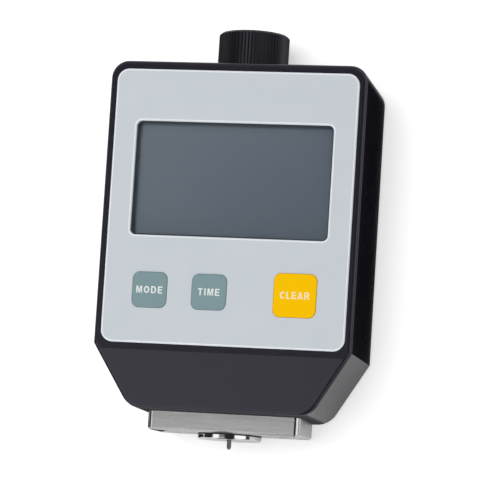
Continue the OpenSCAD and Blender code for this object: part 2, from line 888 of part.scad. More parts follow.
module foot_block() {
    color(steel) difference() {
        union() {
            translate([0, foot_low, axis_z])
                rotate([-90, 0, 0])
                    hull() {
                        plate(foot_w, foot_d, foot_r, foot_bevel, foot_top - foot_low);
                        plate(foot_w - 2 * foot_bevel, foot_d - 2 * foot_bevel, foot_r - foot_bevel,
                              0, foot_bevel);
                    }
            bar(case_low - fuse, floor_y, spigot_d);
            bar(floor_y - fuse, floor_y + spigot_in, nose_d);
        }
        bar(foot_low - over, floor_y + spigot_in + over, foot_bore_d);
        bar(foot_low - over, foot_low + disc_boss_h, disc_boss_d + 2 * press_gap);
        for (x = [-foot_screw_gap / 2, foot_screw_gap / 2]) {
            bar(foot_low - over, foot_top + over, foot_screw_d + 2 * fit_gap, x);
            bar(foot_low - over, foot_low + foot_head_h, foot_head_d + 2 * fit_gap, x);
        }
    }
}

module pressor_disc() {
    boss_top = foot_low + disc_boss_h;
    color(polished) translate([0, 0, axis_z])
        rotate([-90, 0, 0])
            rotate_extrude()
                polygon([[disc_hole_d / 2, disc_low], [disc_d / 2 - disc_chamfer, disc_low],
                         [disc_d / 2, disc_low + disc_chamfer], [disc_d / 2, foot_low],
                         [disc_boss_d / 2, foot_low], [disc_boss_d / 2, boss_top],
                         [disc_hole_d / 2, boss_top]]);
}

module foot_screws() {
    color(steel)
        for (x = [-foot_screw_gap / 2, foot_screw_gap / 2])
            translate([x, foot_low, axis_z])
                rotate([-90, 0, 0])
                    screw(foot_screw_d, foot_head_d, foot_head_h, foot_screw_len);
}

module knob_stud() {
    color(steel) {
        bar(stud_low, neck_seat_y + fuse, bore_d - 2 * press_gap);
        bar(neck_seat_y, knob_low - seat_gap, 2 * (neck_seat_r - free_gap));
        bar(knob_low - fuse, knob_low + stud_reach, stud_d);
    }
}

module knob() {
    r = knob_d / 2;
    ridges = [
        for (i = [0 : 2 * knurl_count - 1])
            let (a = 180 * i / knurl_count)
            (r - (i % 2) * knurl_depth) * [cos(a), sin(a)]
    ];
    color(black_plastic) translate([0, knob_low, axis_z])
        rotate([-90, 0, 0])
            difference() {
                intersection() {
                    linear_extrude(knob_h) polygon(ridges);
                    rotate_extrude()
                        polygon([[0, 0], [r - knob_chamfer, 0], [r + skin, knob_chamfer],
                                 [r + skin, knob_h - knob_chamfer], [r - knob_chamfer, knob_h],
                                 [0, knob_h]]);
                }
                translate([0, 0, -over])
                    cylinder(h = over + stud_reach + free_gap, d = stud_d + 2 * run_gap);
            }
}

module battery_cap() {
    color(black_plastic) translate([cap_x, cap_y, 0]) difference() {
        union() {
            translate([0, 0, cap_face]) cylinder(h = cap_t, r = cap_r);
            translate([0, 0, cap_face]) cylinder(h = lug_low + lug_h - cap_face, r = spigot_r);
            for (a = [0, 180])
                rotate(a)
                    ring_sector(spigot_r - fuse, lug_r, lug_angle, lug_low, lug_low + lug_h);
        }
        translate([0, 0, cap_floor]) cylinder(h = cell_t + over, d = cell_d + 2 * cell_gap);
        translate([-slot_len / 2, -slot_w / 2, cap_face - over])
            cube([slot_len, slot_w, over + slot_in]);
    }
}

module coin_cell() {
    color(polished) translate([cap_x, cap_y, cap_floor]) {
        cylinder(h = cell_t - cell_lid_h, d = cell_d);
        cylinder(h = cell_t, d = cell_d - 2 * cell_rim);
    }
}

// Two leaf springs across the battery well, each with a pip on the cell and a post to the board
module battery_contacts() {
    color(bronze)
        for (i = [0, 1]) {
            x = cap_x + contact_x[i];
            end = i == 0 ? 1 : -1;
            reach = sqrt(pow(battery_wall_r, 2) - pow(contact_x[i] + contact_w / 2, 2)) - contact_end;
            translate([x - contact_w / 2, cap_y - reach, collar_top])
                cube([contact_w, 2 * reach, contact_t]);
            translate([x, cap_y, cell_top + seat_gap])
                cylinder(h = collar_top - cell_top, r = post_r);
            translate([x, cap_y + end * (reach - post_r), collar_top])
                cylinder(h = board_low - collar_top, r = post_r);
        }
}

front_case();
rear_cover();
case_screws();
front_panel();
display_lens();
display_glass();
backlight();
contact_strips();
circuit_board();
board_chips();
board_screws();
key_switches();
read_head();
mode_key();
time_key();
clear_key();
guide_body();
lower_bush();
upper_bush();
plunger_rod();
indenter();
scale_carrier();
scale_strip();
main_spring();
spring_nut();
foot_block();
pressor_disc();
foot_screws();
knob_stud();
knob();
battery_cap();
coin_cell();
battery_contacts();
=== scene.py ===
"""Dresses a packed hand-held digital durometer: finishes, prints, painted highlight lines round the panel,
a dark ring of painted shade at the disc's root, studio and camera.
"""

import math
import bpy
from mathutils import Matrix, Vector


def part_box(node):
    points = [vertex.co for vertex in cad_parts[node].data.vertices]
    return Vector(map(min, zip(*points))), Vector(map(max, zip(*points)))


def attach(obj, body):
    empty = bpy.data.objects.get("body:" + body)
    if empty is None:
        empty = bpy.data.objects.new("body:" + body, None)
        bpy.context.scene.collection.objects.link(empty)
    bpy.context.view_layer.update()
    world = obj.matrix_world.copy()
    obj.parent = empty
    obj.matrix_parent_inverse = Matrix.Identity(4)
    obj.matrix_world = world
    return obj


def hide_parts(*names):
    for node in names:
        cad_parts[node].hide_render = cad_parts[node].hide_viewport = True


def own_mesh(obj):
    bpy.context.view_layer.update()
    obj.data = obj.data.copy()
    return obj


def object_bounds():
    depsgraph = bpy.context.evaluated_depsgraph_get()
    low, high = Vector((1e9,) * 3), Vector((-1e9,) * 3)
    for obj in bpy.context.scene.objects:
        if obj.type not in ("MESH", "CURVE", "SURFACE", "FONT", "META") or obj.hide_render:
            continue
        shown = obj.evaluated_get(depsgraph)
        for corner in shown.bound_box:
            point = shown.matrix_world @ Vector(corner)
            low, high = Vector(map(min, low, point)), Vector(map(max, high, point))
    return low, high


bl_info = {
    "name": "Durometer",
    "version": (1, 0, 0),
    "blender": (4, 5, 0),
    "location": "3D View > Sidebar > Durometer",
    "description": "Finishes and fine details of a hand-held digital durometer",
    "category": "Object",
}

import bpy
from bpy.props import FloatProperty, FloatVectorProperty, PointerProperty
from bpy.types import NodeSocket, Operator, Panel, PropertyGroup
from mathutils import Matrix, Vector

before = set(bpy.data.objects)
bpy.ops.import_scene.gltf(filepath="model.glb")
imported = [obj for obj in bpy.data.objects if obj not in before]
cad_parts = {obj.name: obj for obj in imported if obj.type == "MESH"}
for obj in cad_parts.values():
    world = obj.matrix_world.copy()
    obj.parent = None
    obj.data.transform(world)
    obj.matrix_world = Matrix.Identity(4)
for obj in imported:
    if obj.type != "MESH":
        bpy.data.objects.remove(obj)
CAD_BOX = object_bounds()
MM = 0.001

# How the solids are shaded
SHARP_ANGLE = math.radians(26)
CREASE_ANGLE = math.radians(2)
FLAT_ANGLE = math.radians(0.5)
CREASE_REACH = 0.02 * MM
MERGE_REACH = 0.0005 * MM
EDGE_SEGMENTS = 2
NORMAL_WEIGHT = 80
NO_CREASE = 1.0  # a place far outside the part

# Steps in a letter's or corner's arc, and in a whole ring
ARC_STEPS = 14
RING_STEPS = 128

# Components of a normal that mark the underside, the panel's flat front and the foot's rounded edges
UNDER_FACING = (-0.98, -0.85)
FRONT_FACING = 0.9
EDGE_FACING = (0.1, 0.99)

NOISE_MEAN = 0.5
TOOL_LINE = 1.12  # how much lighter a tool line is than its metal
SENSOR_WIDTH = 36  # of the camera, in millimetres
CARD_GAP = 0.05 * MM  # from the part's lowest point down to the floor or up to a card
CARD_BLACK = (0.004, 0.004, 0.004)


def srgb(red, green, blue):
    """A screen colour from 0 to 255 as the linear values that a shader takes."""
    return tuple(
        c / 255 / 12.92 if c < 11 else ((c / 255 + 0.055) / 1.055) ** 2.4
        for c in (red, green, blue)
    )


def colour(name, description, value):
    """A colour that the user can change."""
    return FloatVectorProperty(
        name=name, description=description, subtype="COLOR", size=3, min=0, max=1, default=value
    )


def length(name, description, value):
    """A length in metres that the user can change."""
    return FloatProperty(
        name=name, description=description, unit="LENGTH", precision=5, min=0, default=value
    )


def point(name, description, value):
    """A place in metres that the user can change."""
    return FloatVectorProperty(
        name=name, description=description, subtype="TRANSLATION", unit="LENGTH", default=value
    )


def direction(name, description, value):
    """A direction that the user can change."""
    return FloatVectorProperty(name=name, description=description, subtype="DIRECTION", default=value)


def power(name, description, value):
    """A lamp's power in watts that the user can change."""
    return FloatProperty(name=name, description=description, unit="POWER", min=0, default=value)


def amount(name, description, value):
    """A plain number that the user can change."""
    return FloatProperty(name=name, description=description, min=0, default=value)


def fraction(name, description, value):
    """A number from 0 to 1 that the user can change."""
    return FloatProperty(
        name=name, description=description, subtype="FACTOR", min=0, max=1, default=value
    )


class StageSettings(PropertyGroup):
    """Camera, lamps, surroundings and floor."""

    camera_place: point("Camera place", "Where the camera stands", (0.2026, -0.0973, 0.8430))
    camera_aim: direction("Camera aim", "Direction in which the camera looks", (-0.2363, 0.1050, -0.9660))
    camera_up: direction("Camera up", "Direction that is up in the picture", (-0.0365, 0.9925, 0.1167))
    camera_lens: amount("Lens", "Focal length in millimetres on a 36 mm sensor", 226.85)
    key_power: power("Key lamp", "Power of the overhead softbox", 4.6)
    key_place: point("Key lamp place", "Where the overhead softbox hangs", (-0.18, 0.12, 0.78))
    key_size: length("Key lamp size", "Side of the overhead softbox", 0.7)
    low_power: power("Low lamp", "Power of the low lamp in front of the foot", 0.7)
    low_place: point("Low lamp place", "Where the low lamp stands", (0.1, -0.5, 0.16))
    low_size: length("Low lamp size", "Side of the low lamp", 0.3)
    sky_light: amount("Sky light", "Light of the surroundings on the object", 0.3)
    front_gloss: amount("Front reflections", "How bright the softbox before the foot is mirrored", 1.3)
    back_gloss: amount("Back reflections", "How bright the softbox behind the knob is mirrored", 0.5)
    side_gloss: amount("Side reflections", "How bright the low softbox on the left is mirrored", 0.8)
    ring_gloss: amount("Ring reflections", "How bright the ring of softboxes half way up is mirrored", 1.5)
    strip_gloss: amount("Strip reflections", "How bright the strip lights over the foot are mirrored", 1.5)
    dark_gloss: amount("Dark reflections", "How bright the rest of the surroundings is mirrored", 0.03)
    floor_white: colour("Floor", "Colour of the floor", (0.85, 0.85, 0.85))
    floor_dim: colour("Floor bounce", "Colour of the floor as it lights the object", (0.35, 0.35, 0.35))
    floor_glow: amount("Floor glow", "Light that lifts the floor to white in the picture", 0.5)
    floor_sheen: amount("Floor sheen", "Light that lifts the floor in reflections", 0.15)
    floor_reach: length("Floor reach", "Distance from the middle of the floor to its edges", 6.0)
    glow_near: length("Near glow", "Distance from the middle where the floor starts to whiten", 0.3)
    glow_far: length("Far glow", "Distance from the middle where the floor is all white", 1.5)
    flag_gap: length("Flag gap", "Gap between the part and a black card beside it", 0.5 * MM)
    side_flag: length("Side flag", "Reach of the black card on the right", 25 * MM)
    foot_flag: length("Foot flag", "Reach of the black card on the left of the foot", 200 * MM)
    foot_flag_front: length("Foot flag front", "How far that card stands out before the foot", 12 * MM)


class CaseSettings(PropertyGroup):
    """Moulded case, knob and battery cap."""

    black: colour("Case black", "Colour of the moulded case", srgb(20, 18, 28))
    black_patch: colour("Case patches", "Second shade of the moulded case", srgb(25, 23, 34))
    sheen_tint: colour("Case sheen", "Tint of the moulding's reflections", (0.95, 0.93, 1.0))
    under_rough: fraction("Underside roughness", "Roughness of the matt underside round the foot", 0.8)
    grain: length("Grain", "Size of the moulding's grain", 0.25 * MM)
    crease: FloatProperty(
        name="Crease",
        description="Place of the crease above the apron, along the plunger",
        unit="LENGTH",
        precision=5,
        default=-40.65 * MM,
    )
    edge: length("Case edges", "Width of the case's broken edges", 0.1 * MM)
    knob_black: colour("Knob black", "Colour of the knob", srgb(8, 8, 12))
    knob_patch: colour("Knob patches", "Second shade of the knob", srgb(13, 13, 19))
    knob_tint: colour("Knob sheen", "Tint of the knob's reflections", (0.86, 0.86, 1.0))
    knob_edge: length("Knob edges", "Width of the knob's broken edges", 0.05 * MM)


class PanelSettings(PropertyGroup):
    """Front panel, window and display."""

    silver: colour("Panel silver", "Paint of the front panel", srgb(201, 208, 213))
    silver_patch: colour("Panel patches", "Second shade of the paint", srgb(207, 213, 219))
    # Bare cut edges of the panel, lightened further as a painted highlight; also the second shade of the
    # highlight lines
    edge_highlight: colour("Panel edges", "Bright cut edges of the panel", srgb(243, 248, 253))
    # Painted highlight: light lines that stand in for the highlight along the edges of the panel and its
    # window
    edge_line: colour("Borders", "Light lines round the panel and its window", srgb(236, 242, 248))
    border_width: length("Border width", "Width of the light lines", 0.22 * MM)
    line_half_thickness: length("Border ink", "Half the thickness of the lines", 0.01 * MM)
    bevel: length("Bevel", "Bevel along the edges of the panel and its window", 0.3 * MM)
    corner: length("Panel corner", "Corner radius of the panel", 3.4 * MM)
    window_corner: length("Window corner", "Corner radius of the window", 1.6 * MM)
    gasket: colour("Gasket", "Dark line on the lens inside the window", srgb(46, 51, 57))
    gasket_patch: colour("Gasket patches", "Second shade of the dark line", srgb(52, 57, 63))
    gasket_width: length("Gasket width", "How far the dark line reaches into the window", 0.45 * MM)
    lens: colour("Lens tint", "Tint of the lens", (0.96, 0.97, 0.98))
    lens_patch: colour("Lens patches", "Second tint of the lens", (1, 1, 1))
    lens_lap: length("Lens lap", "How far the lens reaches under the panel", 1.4 * MM)
    lens_bend: amount("Lens bend", "Refractive index of the lens", 1.2)
    lens_mirror: fraction("Lens mirror", "Share of its head-on reflection that the lens keeps", 0.0)
    display: colour("Display", "Blank display in the upper left", srgb(98, 107, 116))
    display_low: colour("Display low", "Blank display in the lower right", srgb(82, 91, 101))


class KeySettings(PropertyGroup):
    """Keys and their legends."""

    grey: colour("Grey keys", "Colour of the mode and time keys", srgb(127, 152, 156))
    grey_patch: colour("Grey patches", "Second shade of the grey keys", srgb(132, 156, 160))
    amber: colour("Amber key", "Colour of the clear key", srgb(255, 196, 0))
    amber_patch: colour("Amber patches", "Second shade of the amber key", srgb(255, 200, 4))
    legend: colour("Legends", "Ink of the legends on the grey keys", srgb(238, 242, 240))
    legend_patch: colour("Legend patches", "Second shade of the ink", srgb(228, 233, 231))
    warm: colour("Warm legend", "Ink of the legend on the amber key", srgb(255, 240, 200))
    warm_patch: colour("Warm patches", "Second shade of the warm ink", srgb(252, 233, 185))
    legend_height: length("Legend height", "Height of the capitals", 1.98 * MM)
    legend_gap: length("Legend spacing", "Gap between two letters on a grey key", 0.5 * MM)
    warm_gap: length("Warm spacing", "Gap between two letters on the amber key", 0.37 * MM)
    ink: length("Ink", "Half the thickness of the printed ink", 0.02 * MM)


class MetalSettings(PropertyGroup):
    """Steel, alloy and bronze."""

    foot: colour("Foot steel", "Ground steel of the foot", (0.42, 0.42, 0.42))
    foot_line: colour("Foot lines", "Grinding lines of the foot", (0.64, 0.64, 0.635))
    foot_edge: length("Foot edges", "Width of the foot's broken edges", 0.04 * MM)
    edge_polish: fraction("Edge polish", "How much smoother the foot's edges are than its faces", 0.7)
    disc: colour("Disc", "Polished steel of the disc", (0.6, 0.6, 0.6))
    disc_patch: colour("Disc patches", "Second shade of the disc", (0.66, 0.66, 0.655))
    disc_edge: length("Disc edges", "Width of the disc's broken edges", 0.06 * MM)
    # Painted shade: a dark ring that stands in for the shadow in the gap where the disc meets the foot
    root_shade: colour("Joint", "Dark line round the root of the disc", srgb(14, 14, 15))
    root_shade_patch: colour("Joint patches", "Second shade of that line", srgb(24, 24, 25))
    root_shade_width: length("Joint width", "Width of that line along the disc", 0.4 * MM)
    root_shade_lap: length("Joint lap", "How deep that line goes into the disc", 0.02 * MM)
    root_shade_stand: length("Joint stand", "How far that line stands out of the disc", 0.03 * MM)
    steel: colour("Steel", "Turned steel", (0.5, 0.5, 0.51))
    pin: colour("Indenter", "Hardened steel of the indenter", (0.14, 0.135, 0.13))
    alloy: colour("Alloy", "Machined alloy", (0.68, 0.69, 0.71))
    bronze: colour("Bronze", "Machined bronze", (0.62, 0.44, 0.22))


class InnerSettings(PropertyGroup):
    """Circuit board, moving scale and what lies under the display."""

    backlight: colour("Backlight", "White moulding under the display", (0.8, 0.8, 0.8))
    backlight_patch: colour("Backlight patches", "Second shade of the backlight", (0.86, 0.86, 0.86))
    strip: colour("Contact strips", "Rubber of the contact strips", srgb(60, 60, 62))
    strip_patch: colour("Strip patches", "Second shade of the contact strips", srgb(120, 118, 110))
    board: colour("Board", "Solder resist of the circuit board", srgb(18, 74, 44))
    board_patch: colour("Board patches", "Second shade of the circuit board", srgb(30, 98, 58))
    chip: colour("Chips", "Moulding of the chips, switches and read head", srgb(22, 22, 24))
    chip_patch: colour("Chip patches", "Second shade of the chips", srgb(32, 32, 34))
    scale: colour("Scale", "Tint of the scale's glass", (0.75, 0.8, 0.85))
    scale_patch: colour("Scale patches", "Second tint of the scale's glass", (0.9, 0.93, 0.96))
    scale_bend: amount("Scale bend", "Refractive index of the scale's glass", 1.52)


class DurometerSettings(PropertyGroup):
    """All the settings of the durometer."""

    stage: PointerProperty(type=StageSettings)
    case: PointerProperty(type=CaseSettings)
    panel: PointerProperty(type=PanelSettings)
    keys: PointerProperty(type=KeySettings)
    metal: PointerProperty(type=MetalSettings)
    inner: PointerProperty(type=InnerSettings)


class Wires:
    """Adds nodes to one tree and joins them."""

    def __init__(self, tree):
        self.tree = tree

    def add(self, kind, **values):
        """A node with its properties and inputs set; a socket as an input's value is joined to it."""
        node = self.tree.nodes.new(kind)
        for name, value in values.items():
            socket = node.inputs.get(name.replace("_", " "))
            if socket is None:
                setattr(node, name, value)
            else:
                self.feed(socket, value)
        return node

    def join(self, source, target):
        """Joins an output to an input."""
        self.tree.links.new(source, target)

    def feed(self, target, value):
        """Gives an input a plain value, or joins it to a socket."""
        if isinstance(value, NodeSocket):
            self.join(value, target)
        else:
            target.default_value = value

    def maths(self, operation, first, second=0.0):
        """A sum, product or the like of values or sockets."""
        node = self.add("ShaderNodeMath", operation=operation)
        self.feed(node.inputs[0], first)
        self.feed(node.inputs[1], second)
        return node.outputs[0]

    def ramp(self, value, low, high, first, last):
        """A value that runs smoothly from first to last as another runs from low to high."""
        node = self.add("ShaderNodeMapRange", interpolation_type="SMOOTHSTEP", Value=value)
        for name, end in zip(("From Min", "From Max", "To Min", "To Max"), (low, high, first, last)):
            node.inputs[name].default_value = end
        return node.outputs["Result"]

    def blend(self, share, first, second):
        """A colour between two colours or sockets."""
        node = self.add("ShaderNodeMix", data_type="RGBA")
        for name, value in (("Factor_Float", share), ("A_Color", first), ("B_Color", second)):
            self.feed(next(s for s in node.inputs if s.identifier == name), value)
        return next(s for s in node.outputs if s.identifier == "Result_Color")

    def mix(self, share, first, second):
        """A shader between two shaders."""
        node = self.add("ShaderNodeMixShader", Fac=share)
        self.join(first.outputs[0], node.inputs[1])
        self.join(second.outputs[0], node.inputs[2])
        return node

    def facing(self, axis, normal="True Normal"):
        """How far the surface faces along an axis."""
        vector = self.add("ShaderNodeNewGeometry").outputs[normal]
        return self.add("ShaderNodeSeparateXYZ", Vector=vector).outputs[axis]

    def show(self, shader, kind="ShaderNodeOutputMaterial"):
        """Makes a shader the tree's result."""
        end = next((n for n in self.tree.nodes if n.bl_idname == kind), None) or self.add(kind)
        self.join(shader.outputs[0], end.inputs["Surface"])


FINISH_SOCKETS = (
    ("Color", "NodeSocketColor"),
    ("Second", "NodeSocketColor"),
    ("Patch", "NodeSocketFloat"),
    ("Grain", "NodeSocketFloat"),
    ("Stretch", "NodeSocketVector"),
    ("Rough", "NodeSocketFloat"),
    ("Spread", "NodeSocketFloat"),
)


def finish_group():
    """The shared finish: patches of two shades, uneven gloss and a grain that may be drawn into lines."""
    tree = bpy.data.node_groups.get("surface finish")
    if tree:
        return tree
    tree = bpy.data.node_groups.new("surface finish", "ShaderNodeTree")
    for name, kind in FINISH_SOCKETS:
        tree.interface.new_socket(name, in_out="INPUT", socket_type=kind)
    for name, kind in (("Color", "Color"), ("Roughness", "Float"), ("Height", "Float")):
        tree.interface.new_socket(name, in_out="OUTPUT", socket_type=f"NodeSocket{kind}")
    wires = Wires(tree)
    given = wires.add("NodeGroupInput").outputs
    place = wires.add("ShaderNodeTexCoord").outputs["Object"]
    drawn = wires.add("ShaderNodeVectorMath", operation="MULTIPLY")
    wires.join(place, drawn.inputs[0])
    wires.join(given["Stretch"], drawn.inputs[1])

    def noise(size, detail):
        """Noise in spots of the size that this input gives."""
        scale = wires.maths("DIVIDE", 1, given[size])
        node = wires.add("ShaderNodeTexNoise", Vector=drawn.outputs[0], Scale=scale, Detail=detail)
        return node.outputs["Fac"]

    patch = noise("Patch", 3.0)
    grain = noise("Grain", 1.0)
    uneven = wires.maths("MULTIPLY", wires.maths("SUBTRACT", patch, NOISE_MEAN), given["Spread"])
    out = wires.add("NodeGroupOutput").inputs
    wires.join(wires.blend(patch, given["Color"], given["Second"]), out["Color"])
    wires.join(wires.maths("ADD", given["Rough"], uneven), out["Roughness"])
    wires.join(grain, out["Height"])
    return tree


def solid(rgb):
    """A colour with full opacity."""
    return (*rgb, 1.0)


def blank_material(name):
    """A new material without nodes, and the wires of its tree."""
    material = bpy.data.materials.new(name)
    material.use_nodes = True
    material.node_tree.nodes.clear()
    return material, Wires(material.node_tree)


class Finish:
    """A material made of the shared finish on one Principled BSDF, with its wires and nodes.

    Its two shades lie in patches. The bump has the size of the grain, and a depth where one is given.
    """

    def __init__(
        self, name, first, second, patch, grain, rough,
        spread=0.1, stretch=(1, 1, 1), depth=0.0, **sockets,
    ):
        self.material, self.wires = blank_material(name)
        self.group = self.wires.add("ShaderNodeGroup", node_tree=finish_group())
        values = (solid(first), solid(second), patch, grain, stretch, rough, spread)
        for (socket, _), value in zip(FINISH_SOCKETS, values):
            self.group.inputs[socket].default_value = value
        made = self.group.outputs
        sockets = {"Base_Color": made["Color"], "Roughness": made["Roughness"], **sockets}
        self.shader = self.wires.add("ShaderNodeBsdfPrincipled", **sockets)
        if depth:
            bump = self.wires.add("ShaderNodeBump", Height=made["Height"], Distance=depth, Strength=1.0)
            self.wires.join(bump.outputs["Normal"], self.shader.inputs["Normal"])
        self.wires.show(self.shader)


def moulded(name, first, second, grain, rough=0.28, depth=0.004 * MM, gloss=0.5, tint=(1, 1, 1)):
    """Satin moulded plastic with a fine even grain."""
    return Finish(
        name, first, second, patch=6 * MM, grain=grain, rough=rough, spread=0.05, depth=depth,
        Specular_IOR_Level=gloss, Specular_Tint=solid(tint),
    )


def turned(name, tint, rough=0.3, lines=(1, 1, 1)):
    """Machined metal with faint tool lines."""
    lighter = tuple(min(c * TOOL_LINE, 1) for c in tint)
    return Finish(
        name, tint, lighter, patch=1.5 * MM, grain=0.2 * MM, rough=rough, spread=0.15, stretch=lines,
        depth=0.002 * MM, Metallic=1.0,
    ).material


def clear(name, first, second, patch, bend, mirror=1.0):
    """Clear glass or plastic that light passes; it keeps this share of its head-on reflection."""
    glass = Finish(
        name, first, second, patch=patch, grain=1 * MM, rough=0.0, Roughness=0.0,
        Transmission_Weight=1.0, IOR=bend, Specular_Tint=solid([mirror] * 3),
    )
    wires = glass.wires
    path = wires.add("ShaderNodeLightPath").outputs
    through = wires.maths("MAXIMUM", path["Is Shadow Ray"], path["Is Diffuse Ray"])
    wires.show(wires.mix(through, glass.shader, wires.add("ShaderNodeBsdfTransparent")))
    return glass.material


def dress(material, *nodes, edge=0.0, crease=NO_CREASE):
    """Gives the material to CAD nodes, and breaks their sharp edges where a width is given."""
    for name in nodes:
        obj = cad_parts[name]
        obj.material_slots[0].material = material
        soften(obj, edge, crease)


def shading_group():
    """Joins the facets of a solid and shades it smoothly, apart from its sharp edges and one crease."""
    tree = bpy.data.node_groups.get("smooth solid")
    if tree:
        return tree
    tree = bpy.data.node_groups.new("smooth solid", "GeometryNodeTree")
    tree.interface.new_socket("Geometry", in_out="INPUT", socket_type="NodeSocketGeometry")
    tree.interface.new_socket("Crease", in_out="INPUT", socket_type="NodeSocketFloat")
    tree.interface.new_socket("Geometry", in_out="OUTPUT", socket_type="NodeSocketGeometry")
    wires = Wires(tree)
    given = wires.add("NodeGroupInput").outputs
    merged = wires.add("GeometryNodeMergeByDistance", Geometry=given[0], Distance=MERGE_REACH).outputs[0]
    for name in ("custom_normal", "sharp_face", "sharp_edge"):
        merged = wires.add("GeometryNodeRemoveAttribute", Geometry=merged, Name=name).outputs[0]
    smooth = wires.add("GeometryNodeSetShadeSmooth", Geometry=merged).outputs[0]
    angle = wires.add("GeometryNodeInputMeshEdgeAngle").outputs["Unsigned Angle"]
    corner = wires.maths("GREATER_THAN", angle, SHARP_ANGLE)
    place = wires.add("GeometryNodeInputPosition").outputs[0]
    along = wires.add("ShaderNodeSeparateXYZ", Vector=place).outputs["Y"]
    away = wires.maths("ABSOLUTE", wires.maths("SUBTRACT", along, given["Crease"]))
    bent = wires.maths("GREATER_THAN", angle, CREASE_ANGLE)
    crease = wires.maths("MULTIPLY", bent, wires.maths("LESS_THAN", away, CREASE_REACH))
    sharp = wires.maths("MAXIMUM", corner, crease)
    edged = wires.add(
        "GeometryNodeSetShadeSmooth", domain="EDGE", Geometry=smooth, Selection=sharp, Shade_Smooth=False
    ).outputs[0]
    wires.join(edged, wires.add("NodeGroupOutput").inputs[0])
    return tree


def soften(obj, edge, crease):
    """Smooth shading over fine facets, and a narrow bevel along sharp edges."""
    join = obj.modifiers.new("smooth solid", "NODES")
    join.node_group = shading_group()
    join["Socket_1"] = crease  # the group's second input
    flat = obj.modifiers.new("flat faces", "DECIMATE")
    flat.decimate_type = "DISSOLVE"
    flat.angle_limit = FLAT_ANGLE
    flat.delimit = {"SHARP"}
    if edge:
        bevel = obj.modifiers.new("broken edges", "BEVEL")
        bevel.width = edge
        bevel.segments = EDGE_SEGMENTS
        bevel.limit_method = "ANGLE"
        bevel.angle_limit = SHARP_ANGLE
    shade = obj.modifiers.new("even shading", "WEIGHTED_NORMAL")
    shade.weight = NORMAL_WEIGHT
    shade.keep_sharp = True


def link(obj):
    """Puts a new object into the scene."""
    bpy.context.scene.collection.objects.link(obj)
    return obj


class DUROMETER_OT_stage(Operator):
    """Make the floor, the lamps, the surroundings and the camera"""

    bl_idname = "durometer.stage"
    bl_label = "Stage"

    def execute(self, context):
        settings = context.scene.durometer
        stage = settings.stage
        context.scene.view_settings.view_transform = "Standard"
        make_floor(stage)
        far = CAD_BOX[1]
        right = far.x + stage.flag_gap, far.x + stage.side_flag
        make_flag("side_flag", *right, settings.case.crease, far.y)
        low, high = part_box("foot_block")
        left = low.x - stage.foot_flag, low.x - stage.flag_gap
        make_flag("foot_flag", *left, low.y - stage.foot_flag_front, high.y)
        make_world(context.scene, stage)
        make_lamp("key_lamp", stage.key_place, stage.key_size, stage.key_power)
        make_lamp("low_lamp", stage.low_place, stage.low_size, stage.low_power)
        make_camera(context.scene, stage)
        return {"FINISHED"}


def seen_directly(wires):
    """One for what the camera, a gloss or a glass sees, zero for light that bounces."""
    path = wires.add("ShaderNodeLightPath").outputs
    mirror = wires.maths("MAXIMUM", path["Is Glossy Ray"], path["Is Transmission Ray"])
    return wires.maths("MAXIMUM", path["Is Camera Ray"], mirror)


def make_card(name, left, right, front, back, height, material):
    """A flat sheet at a height above the part's lowest point."""
    mesh = bpy.data.meshes.new(name)
    corners = [(left, front, 0), (right, front, 0), (right, back, 0), (left, back, 0)]
    mesh.from_pydata(corners, [], [(0, 1, 2, 3)])
    mesh.materials.append(material)
    card = link(bpy.data.objects.new(name, mesh))
    card.location.z = CAD_BOX[0].z + height
    return card


def make_floor(stage):
    """A wide pale floor that shows white and keeps the object's shadow."""
    material, wires = blank_material("floor")
    dim = wires.add("ShaderNodeBsdfDiffuse", Color=solid(stage.floor_dim))
    white = wires.add("ShaderNodeBsdfDiffuse", Color=solid(stage.floor_white))
    camera = wires.add("ShaderNodeLightPath").outputs["Is Camera Ray"]
    place = wires.add("ShaderNodeTexCoord").outputs["Object"]
    away = wires.add("ShaderNodeVectorMath", operation="LENGTH", Vector=place).outputs["Value"]
    near, far = stage.floor_glow - stage.floor_sheen, 1 - stage.floor_sheen
    shown = wires.ramp(away, stage.glow_near, stage.glow_far, near, far)
    lift = wires.maths("ADD", stage.floor_sheen, wires.maths("MULTIPLY", camera, shown))
    glow = wires.add("ShaderNodeEmission", Strength=lift)
    both = wires.add("ShaderNodeAddShader")
    wires.join(white.outputs[0], both.inputs[0])
    wires.join(glow.outputs[0], both.inputs[1])
    wires.show(wires.mix(seen_directly(wires), dim, both))
    reach = stage.floor_reach
    floor = make_card("floor", -reach, reach, -reach, reach, -CARD_GAP, material)


def make_flag(name, left, right, front, back):
    """A black card on the floor that only reflections see."""
    material, wires = blank_material(name)
    wires.show(wires.add("ShaderNodeBsdfDiffuse", Color=solid(CARD_BLACK)))
    flag = make_card(name, left, right, front, back, CARD_GAP, material)
    flag.visible_camera = flag.visible_diffuse = flag.visible_shadow = False
    flag.visible_transmission = False


def soft_edge(axis, dark, light, rest=0.0):
    """A soft edge of a softbox.

    It gives an axis of the mirrored direction, where along it the box is dark and where it is fully light,
    and the share of light that is left in the dark.
    """
    return axis, dark, light, rest


# Edges that both strip lights have
STRIP_EDGES = (soft_edge("Y", 0.066, 0.05), soft_edge("Z", 0.22, 0.32))

